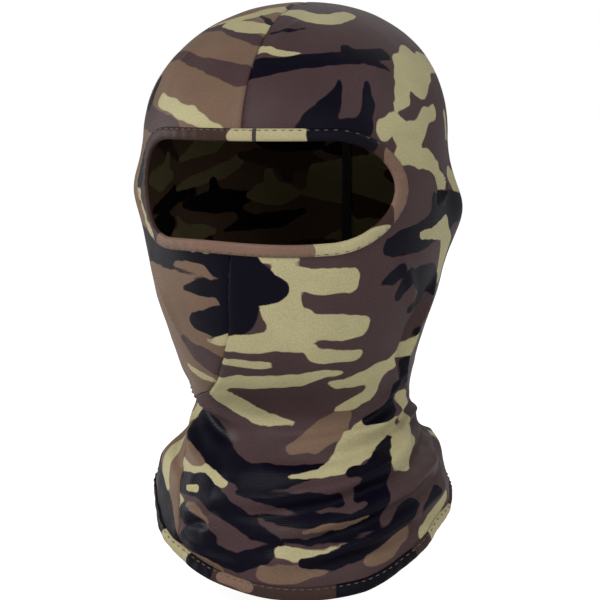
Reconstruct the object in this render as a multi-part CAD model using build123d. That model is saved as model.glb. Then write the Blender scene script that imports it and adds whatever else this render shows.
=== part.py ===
from build123d import *
import os
from math import cos, pi, radians, sin

# Stretch-fabric face mask, shaped as it sits on a head. Millimetres, +Z up.
# The origin is on the head's upright axis, at the level of the eyes.
# The face looks along -Y and the wearer's left is +X.

# Driving dimensions ----------------------------------------------------------
HEAD_HALF_WIDTH = 75.5
HEAD_HALF_DEPTH = 96.0
CROWN_Z = 87.5          # outside of the crown
CROWN_LEAN = 16.0       # how far behind the axis the crown's top is
DOME_BASE_Z = 20.0      # where the crown's dome starts
DOME_POWER = 2.12       # 2 is an ellipse, more is a squarer dome
LEAN_POWER = 1.6        # the lean comes in towards the top
DOME_STEPS = 11
LOWER_STEPS = 2         # levels drawn for each section listed below
WALL = 1.6              # knit fabric, drawn thicker than its 0.8 mm

EYE_WIDTH = 130.0       # clear opening, seen square from the front
EYE_HEIGHT = 48.0
EYE_CORNER = 23.0
EYE_MIDDLE_Z = -4.0
BINDING_WIDTH = 6.0
BINDING_PROUD = 0.9     # how far a folded band stands off the wall, each side

HEM_WIDTH = 7.0
HEM_FRONT_Z = -204.0    # the bib hangs low in front and is short at the nape
HEM_SIDE_Z = -167.0
HEM_BACK_Z = -146.0
HEM_ROLL = 8.5          # degrees, lower on the wearer's left as it hangs
HEM_BREAKS_Y = (-72.0, -50.0, 0.0, 60.0)  # where the hem's slope changes, front to back
HEM_CHEST_RISE = 9.0    # how much the hem has risen at the second of them

ALLOWANCE_WIDTH = 5.0   # overlocked edges inside a seam
ALLOWANCE_THICK = 1.2
JOIN_WIDTH = 2.0        # stitched joint where a band's two ends meet
EYE_JOIN_X = 7.0
STITCH_LENGTH = 2.4
STITCH_PITCH = 4.0
STITCH_THICK = 0.5
STITCH_INSET = 1.4      # thread's distance from the band's sewn edge

# Face, neck and bib below the dome: height, half width, half depth, centre's y
LOWER_SECTIONS = [
    (0.0, HEAD_HALF_WIDTH + 0.5, HEAD_HALF_DEPTH + 0.5, 0.0),
    (-34.0, 75.0, 95.0, 1.0),
    (-60.0, 70.0, 90.0, 1.0),
    (-83.0, 62.5, 81.0, 1.0),
    (-100.0, 57.5, 72.0, 3.0),
    (-116.0, 54.5, 62.0, 10.0),
    (-126.0, 56.0, 62.0, 13.0),
    (-136.0, 63.0, 67.0, 12.0),
    (-146.0, 71.0, 75.0, 11.0),
    (-160.0, 74.5, 80.0, 11.0),
    (-185.0, 75.0, 82.0, 11.0),
    (-230.0, 75.0, 82.0, 10.0),
]

# The front seam below the opening: height and angle from the front centre.
# It slides towards the wearer's right round the neck, where the knit twists.
FRONT_SEAM = [
    (-20.0, -2.0),
    (-60.0, -5.0),
    (-83.0, -9.0),
    (-96.0, -14.0),
    (-105.0, -22.0),
    (-112.0, -36.0),
    (-118.0, -66.0),
    (-128.0, -62.0),
    (-141.0, -51.0),
    (-155.0, -43.0),
    (-230.0, -34.0),
]
REACH = 160.0           # past the outside of the mask in any direction


def dome_sections(offset):
    """Ellipses from the crown's top down to its widest level."""
    height = CROWN_Z - DOME_BASE_Z + offset
    sections = []
    for step in range(1, DOME_STEPS + 1):
        share = cos(pi / 2 * step / DOME_STEPS)
        spread = (1 - share**DOME_POWER) ** (1 / DOME_POWER)
        half_width = (HEAD_HALF_WIDTH + offset) * spread
        half_depth = (HEAD_HALF_DEPTH + offset) * spread
        centre_y = CROWN_LEAN * share**LEAN_POWER
        sections.append((DOME_BASE_Z + height * share, half_width, half_depth, centre_y))
    return sections


def eased(before, start, end, after, share):
    """A smooth step from start to end that takes its slopes from the neighbours."""
    start_slope = (end - before) / 2
    end_slope = (after - start) / 2
    rise = share * share * (3 - 2 * share)
    lift = share * (1 - share) ** 2 * start_slope - share * share * (1 - share) * end_slope
    return start + (end - start) * rise + lift


def lower_sections(offset):
    """The chosen sections below the dome, with smooth steps between them."""
    known = LOWER_SECTIONS
    sections = []
    for index in range(len(known) - 1):
        near = [known[max(index - 1, 0)], known[index], known[index + 1]]
        near.append(known[min(index + 2, len(known) - 1)])
        for step in range(LOWER_STEPS):
            share = step / LOWER_STEPS
            height = known[index][0] * (1 - share) + known[index + 1][0] * share
            sizes = [eased(*(section[key] for section in near), share) for key in (1, 2, 3)]
            sections.append((height, sizes[0] + offset, sizes[1] + offset, sizes[2]))
    z, half_width, half_depth, centre_y = known[-1]
    return sections + [(z, half_width + offset, half_depth + offset, centre_y)]


def skin(offset):
    """The mask's closed form, grown outwards by offset."""
    outlines = [Vertex(0, CROWN_LEAN, CROWN_Z + offset)]
    for z, half_width, half_depth, centre_y in dome_sections(offset) + lower_sections(offset):
        outline = Plane(origin=(0, centre_y, z)) * Ellipse(half_width, half_depth)
        outlines.append(outline.face())
    return loft(outlines, ruled=True)


def eye_prism(grow):
    """The eye opening's outline, grown by grow, run through the front only."""
    outline = RectangleRounded(EYE_WIDTH + 2 * grow, EYE_HEIGHT + 2 * grow, EYE_CORNER + grow)
    front = Plane(origin=(0, 0, EYE_MIDDLE_Z), x_dir=(1, 0, 0), z_dir=(0, -1, 0))
    return extrude(front * outline, amount=REACH)


def above_hem(rise):
    """Everything above the hem's level, raised by rise."""
    front_y, chest_y, side_y, back_y = HEM_BREAKS_Y
    front = (front_y, HEM_FRONT_Z + rise)
    chest = (chest_y, HEM_FRONT_Z + HEM_CHEST_RISE + rise)
    side = (side_y, HEM_SIDE_Z + rise)
    back = (back_y, HEM_BACK_Z + rise)
    low_front = (-REACH, front[1])
    low_back = (REACH, back[1])
    corners = [low_front, front, chest, side, back, low_back, (REACH, 2 * REACH), (-REACH, 2 * REACH)]
    profile = make_face(Polyline(*corners, close=True))
    straight = extrude(Plane.YZ.offset(-REACH) * profile, amount=2 * REACH)
    return straight.rotate(Axis.Y, HEM_ROLL)


def seam_direction(angle):
    """A point well outside the mask, angle degrees from the front."""
    return (2 * REACH * sin(radians(angle)), -2 * REACH * cos(radians(angle)))


def level_face(z, corners):
    """A flat polygon at height z."""
    return (Plane.XY.offset(z) * make_face(Polyline(*corners, close=True))).face()


def right_side(aside=0.0):
    """The wearer's right of the crown seam and of the front seam, moved aside at the front."""
    outlines = []
    for z, angle in [(REACH, 0.0), (0.0, 0.0)] + FRONT_SEAM:
        x, y = seam_direction(angle)
        aside_x = aside * cos(radians(angle))
        aside_y = aside * sin(radians(angle))
        seam = [(aside_x, aside_y), (x + aside_x, y + aside_y)]
        corners = [(0, REACH)] + seam + [(-3 * REACH, -3 * REACH), (-3 * REACH, REACH)]
        outlines.append(level_face(z, corners))
    return loft(outlines, ruled=True)


def crown_slab(width):
    """A thin upright slab on the middle plane, over the crown and down the back."""
    over_crown = Pos(0, 0, REACH / 2) * Box(width, 2 * REACH, REACH)
    down_back = Pos(0, REACH / 2, 0) * Box(width, REACH, 4 * REACH)
    return over_crown + down_back


def eye_stitches(thread_layer):
    """One row of dashes round the binding, near its outer edge."""
    grow = BINDING_WIDTH - STITCH_INSET
    width = EYE_WIDTH + 2 * grow
    height = EYE_HEIGHT + 2 * grow
    front = Plane(origin=(0, 0, EYE_MIDDLE_Z), x_dir=(1, 0, 0), z_dir=(0, -1, 0))
    path = front * RectangleRounded(width, height, EYE_CORNER + grow).wire()
    count = round(path.length / STITCH_PITCH)
    dashes = []
    for index in range(count):
        place = path.position_at(index / count)
        run = path.tangent_at(index / count)
        across = Plane(origin=place, x_dir=run, z_dir=(0, -1, 0))
        dash = extrude(across * Rectangle(STITCH_LENGTH, STITCH_THICK), amount=REACH)
        dashes.append(dash & thread_layer)
    return dashes


def hem_stitches(thread_layer):
    """One row of dashes round the hem band, near its upper edge."""
    rise = HEM_WIDTH - STITCH_INSET
    row = thread_layer & (above_hem(rise - STITCH_THICK) - above_hem(rise))
    around = 2 * pi * (LOWER_SECTIONS[-1][1] + LOWER_SECTIONS[-1][2]) / 2
    count = round(around / STITCH_PITCH)
    dashes = []
    for index in range(count):
        blade = Pos(REACH / 2, 0, 0) * Box(REACH, STITCH_LENGTH, 4 * REACH)
        dashes.append((Rot(0, 0, 360 * index / count) * blade) & row)
    return dashes


def write(name, solids):
    """One STEP for the node, holding its separate solids."""
    pieces = [solid for shape in solids for solid in shape.solids()]
    node = Compound(label=name, children=pieces) if len(pieces) > 1 else pieces[0]
    node.label = name
    export_step(node, f"parts/{name}.step")
    print(name, len(pieces), "solid(s)", round(sum(piece.volume for piece in pieces)), "mm3")


os.makedirs("parts", exist_ok=True)

outside = skin(0)
inside = skin(-WALL)
band_outside = skin(BINDING_PROUD)
band_layer = band_outside - skin(-WALL - BINDING_PROUD)
allowance_layer = inside - skin(-WALL - ALLOWANCE_THICK)
thread_layer = skin(BINDING_PROUD + STITCH_THICK) - band_outside
right = right_side()
clear_opening = eye_prism(0)
bound_opening = eye_prism(BINDING_WIDTH)
above_band = above_hem(HEM_WIDTH)

hood = ((outside - inside) - bound_opening) & above_band
write("hood_right_panel", [hood & right])
write("hood_left_panel", [hood - right])

seam_room = (allowance_layer - eye_prism(BINDING_WIDTH + 1)) & above_hem(HEM_WIDTH + 1)
write("crown_seam_overlock", [seam_room & crown_slab(ALLOWANCE_WIDTH)])
front_half = Pos(0, -REACH, -REACH) * Box(2 * REACH, 2 * REACH, 2 * REACH)
front_seam = (seam_room & front_half) & right_side(ALLOWANCE_WIDTH / 2)
write("front_seam_overlock", [front_seam - right_side(-ALLOWANCE_WIDTH / 2)])

eye_ring = (band_layer & bound_opening) - clear_opening
eye_join = Pos(EYE_JOIN_X, -REACH / 2, REACH / 2) * Box(JOIN_WIDTH, REACH, REACH)
write("eye_binding", [eye_ring - eye_join])
write("eye_binding_join", [eye_ring & eye_join])
write("eye_binding_stitches", eye_stitches(thread_layer))

hem_ring = (band_layer & above_hem(0)) - above_band
hem_join = Pos(0, REACH / 2, 0) * Box(JOIN_WIDTH, REACH, 4 * REACH)
write("hem_band", [hem_ring - hem_join])
write("hem_band_join", [hem_ring & hem_join])
write("hem_band_stitches", hem_stitches(thread_layer))
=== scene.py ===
from math import cos, pi, radians, sin

import bmesh
import bpy
import numpy as np
from mathutils import Matrix, Vector, noise


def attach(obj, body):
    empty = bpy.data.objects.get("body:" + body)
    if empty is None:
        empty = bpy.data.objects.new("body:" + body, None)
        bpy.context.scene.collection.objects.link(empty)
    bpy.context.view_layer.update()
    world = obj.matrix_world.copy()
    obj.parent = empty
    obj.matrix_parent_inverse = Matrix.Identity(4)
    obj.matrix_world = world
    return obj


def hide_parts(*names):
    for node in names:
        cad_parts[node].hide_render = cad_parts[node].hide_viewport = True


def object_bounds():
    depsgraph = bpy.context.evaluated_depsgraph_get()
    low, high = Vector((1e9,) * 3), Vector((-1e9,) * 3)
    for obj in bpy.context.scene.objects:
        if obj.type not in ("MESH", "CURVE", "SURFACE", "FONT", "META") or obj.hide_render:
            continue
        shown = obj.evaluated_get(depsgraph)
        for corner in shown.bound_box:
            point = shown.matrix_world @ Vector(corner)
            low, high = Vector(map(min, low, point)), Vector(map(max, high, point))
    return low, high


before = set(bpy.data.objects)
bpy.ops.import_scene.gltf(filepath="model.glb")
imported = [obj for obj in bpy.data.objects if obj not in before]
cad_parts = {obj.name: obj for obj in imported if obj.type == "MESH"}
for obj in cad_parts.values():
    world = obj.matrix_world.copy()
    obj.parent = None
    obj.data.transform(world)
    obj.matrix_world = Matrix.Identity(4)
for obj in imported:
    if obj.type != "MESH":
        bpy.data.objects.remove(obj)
cad_low, cad_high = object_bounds()

# Camo face mask: a stretch-knit hood of two panels, sewn along the crown and
# under the opening, with a bound eye opening and a narrow hem band. Shapes are
# worked out in millimetres and written to the meshes in metres.
# A place on the mask is (t, z): degrees round from the front, plus towards the
# wearer's left, and height.
MM = 0.001
CROWN_Z = cad_high.z / MM
HALF_WIDTH = 75.5
HALF_DEPTH = 96.0
DOME_BASE = 20.0
DOME_POWER = 2.12
CROWN_LEAN = 16.0
LEAN_POWER = 1.6
POLE_MARGIN = 1.2
SECTIONS = [             # height, half width, half depth, centre's y
    (0, 76, 96.5, 0), (-34, 75, 95, 1), (-60, 70, 90, 1), (-83, 62.5, 81, 1),
    (-100, 57.5, 72, 3), (-116, 54.5, 62, 10), (-126, 56, 62, 13),
    (-136, 63, 67, 12), (-146, 71, 75, 11), (-160, 74.5, 80, 11),
    (-185, 75, 82, 11), (-230, 75, 82, 10),
]
SEAM = [                 # the front seam, which slides to the wearer's right
    (20, 0), (-28, -4), (-55, -6.5), (-75, -9), (-87, -14), (-100, -23),
    (-107, -33), (-110, -46), (-114, -60), (-125, -58), (-140, -45),
    (-155, -40), (-210, -35),
]
HEM_PROFILE = [(-160, -206), (-72, -206), (-50, -197), (0, -169), (60, -148), (160, -148)]
HEM_TILT = 0.15
HEM_WIDTH = 7.0
HEM_GUESS = -185.0       # a height to start from when the hem's is worked out
KNIT_THICK = 0.9


# The mask's form ------------------------------------------------------------
def eased(before, start, end, after, share):
    """A smooth step from start to end that takes its slopes from the neighbours."""
    rise = share * share * (3 - 2 * share)
    lift = share * (1 - share) ** 2 * (end - before) / 2
    return start + (end - start) * rise + lift - share * share * (1 - share) * (after - start) / 2


def lower_table():
    """Half width, half depth and centre at every millimetre below the dome."""
    heights = np.arange(-230, 1, 1.0)
    rows = []
    for z in heights:
        for i in range(len(SECTIONS) - 1):
            top, low = SECTIONS[i], SECTIONS[i + 1]
            if top[0] >= z >= low[0]:
                near = [SECTIONS[max(i - 1, 0)], top, low, SECTIONS[min(i + 2, len(SECTIONS) - 1)]]
                share = (top[0] - z) / (top[0] - low[0])
                rows.append([eased(*(s[k] for s in near), share) for k in (1, 2, 3)])
                break
    return heights, np.array(rows)


TABLE_Z, TABLE = lower_table()


def section(z):
    """Half width, half depth and centre's y at height z."""
    z = np.asarray(z, float)
    share = np.clip((z - DOME_BASE) / (CROWN_Z - DOME_BASE), 0, 1)
    spread = (1 - share**DOME_POWER) ** (1 / DOME_POWER)
    dome = np.stack([HALF_WIDTH * spread, HALF_DEPTH * spread, CROWN_LEAN * share**LEAN_POWER])
    low = np.stack([np.interp(z, TABLE_Z, TABLE[:, k]) for k in range(3)])
    mix = np.clip(z / DOME_BASE, 0, 1)
    return low * (1 - mix) + dome * mix


def plain(t, z):
    """The smooth form's points, before any fold."""
    a, b, middle = section(z)
    angle = np.radians(t)
    return np.stack([a * np.sin(angle), middle - b * np.cos(angle), z + 0 * angle], -1)


def outward(t, z):
    """The plain form's outward direction, taken just under the crown's very top."""
    low_z = np.minimum(z, CROWN_Z - POLE_MARGIN)
    a, b, _middle = section(low_z)
    up, down = section(low_z + 0.5), section(low_z - 0.5)
    slope = up - down
    s, c = np.sin(np.radians(t)), np.cos(np.radians(t))
    n = np.stack([s / a, -c / b, -(slope[0] * s * s / a + slope[1] * c * c / b - slope[2] * c / b)], -1)
    return n / np.linalg.norm(n, axis=-1, keepdims=True)


def hem_level(t):
    """The hem's lower edge, low in front, short at the nape."""
    ys, zs = zip(*HEM_PROFILE)
    level = HEM_GUESS + 0 * np.asarray(t, float)
    for _ in range(2):
        x, y, _z = np.moveaxis(plain(t, level), -1, 0)
        level = np.interp(y, ys, zs) - HEM_TILT * x
    return level


def seam_angle(z):
    """The front seam's angle at height z."""
    zs, ts = zip(*reversed(SEAM))
    return np.interp(z, zs, ts)


CHAIN_STEP = 5.0         # degrees between a chain's close points


def chain(marks):
    """A chain of (t, z, radius) marks as close points on the form; z None is the hem."""
    marks = [(t, float(hem_level(t)) + HEM_WIDTH / 2 if z is None else z, r) for t, z, r in marks]
    dense = [marks[0]]
    for a, b in zip(marks, marks[1:]):
        count = max(1, int(abs(b[0] - a[0]) / CHAIN_STEP + 0.99))
        dense += [tuple(p + (q - p) * k / count for p, q in zip(a, b)) for k in range(1, count + 1)]
    dense = np.array(dense, float)
    return plain(dense[:, 0], dense[:, 1]), dense[:, 2]


def chain_distance(points, marks):
    """Distance outside the chain's outline, and how far along the chain it is."""
    spots, radii = chain(marks)
    if len(spots) == 1:
        return np.linalg.norm(points - spots[0], axis=1) - radii[0], np.full(len(points), 0.5)
    best = np.full(len(points), 1e9)
    along = np.zeros(len(points))
    for k in range(len(spots) - 1):
        run = spots[k + 1] - spots[k]
        f = np.clip((points - spots[k]) @ run / max(run @ run, 1e-9), 0, 1)
        away = np.linalg.norm(points - spots[k] - f[:, None] * run, axis=1)
        away -= radii[k] + (radii[k + 1] - radii[k]) * f
        nearer = away < best
        best = np.where(nearer, away, best)
        along = np.where(nearer, (k + f) / (len(spots) - 1), along)
    return best, along


FOLD_DEPTH = 1.4         # every fold's depth is times this
# Folds: depth, then the crest as (t, z, half width) marks. Minus is a valley.
FOLDS = [
    # swags that hang round the bib from the neck's left side
    (2.6, [(104, -113, 3), (84, -118, 3.5), (58, -126, 4), (30, -131, 4.5), (5, -132, 4)]),
    (-2.4, [(104, -119, 3), (80, -125, 3.2), (54, -133, 3.5), (25, -139, 4), (0, -140, 4)]),
    (2.8, [(104, -127, 3), (82, -132, 3.6), (60, -141, 4.5), (34, -151, 4.5), (5, -158, 4.5),
           (-20, -158, 4)]),
    (-2.4, [(100, -135, 3), (78, -141, 3.4), (54, -151, 3.6), (28, -160, 4), (0, -166, 4),
            (-20, -165, 4)]),
    (2.4, [(98, -141, 3), (76, -149, 3.6), (52, -160, 4), (26, -170, 4), (0, -176, 4)]),
    (-2.0, [(96, -149, 3), (74, -157, 3.2), (50, -168, 3.6), (24, -178, 4), (4, -182, 4)]),
    (2.2, [(94, -156, 3), (70, -167, 3.6), (46, -178, 4), (20, -187, 4), (-4, -190, 4)]),
    (-1.8, [(90, -165, 3), (66, -175, 3.2), (42, -186, 3.4), (16, -194, 3.4)]),
    # short tight pleats in the neck's left side
    (2.2, [(108, -120, 2), (92, -124, 2), (78, -129, 2.2)]),
    (-2.2, [(108, -124, 2), (92, -129, 2), (76, -135, 2.2)]),
    (1.8, [(112, -136, 2.4), (96, -139, 2.4), (84, -145, 2.6)]),
    (1.8, [(84, -98, 2.4), (78, -106, 2.6), (64, -115, 3), (46, -121, 3)]),
    (-1.8, [(90, -104, 2.2), (78, -113, 2.4), (62, -120, 2.6), (44, -126, 2.6)]),
    # the notch at the neck's right side, and the creases that run from it
    (2.2, [(-78, -106, 2.4), (-56, -111, 3), (-34, -118, 4), (-12, -125, 4)]),
    (-2.4, [(-84, -111, 2.4), (-60, -117, 3), (-38, -126, 3.4), (-16, -133, 3.4)]),
    (2.2, [(-80, -119, 3), (-58, -128, 3.6), (-38, -140, 4), (-18, -148, 4)]),
    (-1.6, [(-72, -130, 3), (-52, -142, 3.4), (-34, -153, 3.6)]),
    # the curl low on the bib's right side
    (2.2, [(-36, -168, 2.2), (-27, -166, 2.4), (-19, -169, 2.4), (-18, -175, 2.4), (-25, -177, 2.2)]),
    (-1.8, [(-33, -173, 2), (-25, -171.5, 1.8), (-22, -174, 1.6)]),
    (1.8, [(-44, -176, 2.6), (-32, -184, 3), (-18, -190, 3), (-6, -192, 3)]),
    (-1.4, [(-40, -182, 2.4), (-28, -190, 2.6), (-14, -195, 2.6)]),
    # jaw pleat
    (2.8, [(92, -50, 2.2), (84, -72, 2.4), (81, -90, 2.4), (88, -108, 2.4)]),
    (-2.4, [(86, -54, 1.8), (78, -73, 2.2), (75, -90, 2.2), (82, -106, 2.2)]),
    (1.5, [(66, -88, 3), (80, -103, 3.5), (96, -112, 3)]),
    # drag lines from the opening's ends, and the ear's creases
    (1.2, [(-56, -36, 3), (-46, -57, 4.5), (-40, -82, 4)]),
    (1.2, [(62, -38, 3), (72, -55, 4), (76, -70, 3.4)]),
    (1.8, [(88, 3, 1.8), (93, -5, 2), (91, -14, 2)]),
    (-1.8, [(84, 2, 1.8), (88, -5, 1.8), (86, -14, 1.8)]),
    (0.9, [(-40, 36, 3), (-44, 52, 5), (-38, 68, 4)]),
    (0.9, [(4, 60, 2), (10, 72, 2.4), (18, 78, 2.4)]),
    # nape
    (2.4, [(112, -112, 3.4), (145, -118, 4), (180, -120, 4), (215, -118, 4), (248, -112, 3.4)]),
    (-2.0, [(118, -119, 3.4), (150, -126, 3.6), (180, -128, 3.6), (212, -126, 3.6), (244, -119, 3.4)]),
    (1.8, [(110, -96, 3.4), (140, -102, 4), (180, -106, 4), (220, -102, 4), (250, -96, 3.4)]),
    (1.8, [(108, -133, 3.4), (128, -139, 4), (150, -142, 3.4)]),
    (1.8, [(212, -141, 3.4), (236, -140, 4), (256, -130, 3.4)]),
    (1.4, [(130, -70, 4), (135, -88, 5), (142, -100, 3.4)]),
    (1.4, [(230, -70, 4), (225, -88, 5), (218, -100, 3.4)]),
]
# Swellings: height, place, spread round the mask in mm and spread in height.
SWELLINGS = [
    (7.5, 110, -18, 17, 17), (6.0, -110, -18, 17, 17),
    (5.0, -66, -6, 10, 16), (2.0, -4, -84, 22, 16), (2.0, -2, -52, 12, 16),
    (2.6, 104, -124, 12, 5), (4.0, 118, -141, 13, 6), (2.5, 92, -166, 16, 9),
    (1.6, -62, -140, 16, 12), (-1.5, -68, -110, 12, 5),
]


FOLD_FADE = 0.6          # how gently a fold dies out towards its two ends
SOFT_PITCH, FINE_PITCH = 26, 9  # mm over which the knit's unevenness changes
SOFT_RISE, FINE_RISE = 0.5, 0.12
LOOSE_SOFT, LOOSE_FINE = 1.3, 0.3  # how much more there is of both on the loose bib
LOOSE_FROM, LOOSE_OVER = -88, 25  # the height where the knit starts to hang loose


def relief(points):
    """How far the knit stands off the plain form, in folds and swellings."""
    height = np.zeros(len(points))
    for depth, marks in FOLDS:
        width = sum(m[2] for m in marks) / len(marks)
        away, along = chain_distance(points, [(a, z, 0) for a, z, _ in marks])
        fade = np.clip(np.sin(pi * np.clip(along, 0, 1)), 0, 1) ** FOLD_FADE
        height += FOLD_DEPTH * depth * np.exp(-((away / width) ** 2)) * fade
    for rise, at, level, round_it, up_it in SWELLINGS:
        centre = plain(np.array([at]), np.array([level]))[0]
        side = np.hypot(points[:, 0] - centre[0], points[:, 1] - centre[1])
        height += rise * np.exp(-((side / round_it) ** 2) - ((points[:, 2] - level) / up_it) ** 2)
    soft = np.array([noise.noise(Vector(p) / SOFT_PITCH) for p in points])
    fine = np.array([noise.noise(Vector(p) / FINE_PITCH + Vector((7, 3, 1))) for p in points])
    loose = np.clip((LOOSE_FROM - points[:, 2]) / LOOSE_OVER, 0, 1)
    height += soft * (SOFT_RISE + LOOSE_SOFT * loose)
    return height + fine * (FINE_RISE + LOOSE_FINE * loose)


def knit(t, z, lift=0.0):
    """Points on the knit's face, lifted off it by lift millimetres."""
    t = np.asarray(t, float) + 0 * np.asarray(z, float)
    z = np.asarray(z, float) + 0 * t
    base = plain(t, z)
    return base + outward(t, z) * (relief(base) + lift)[:, None]


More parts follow.
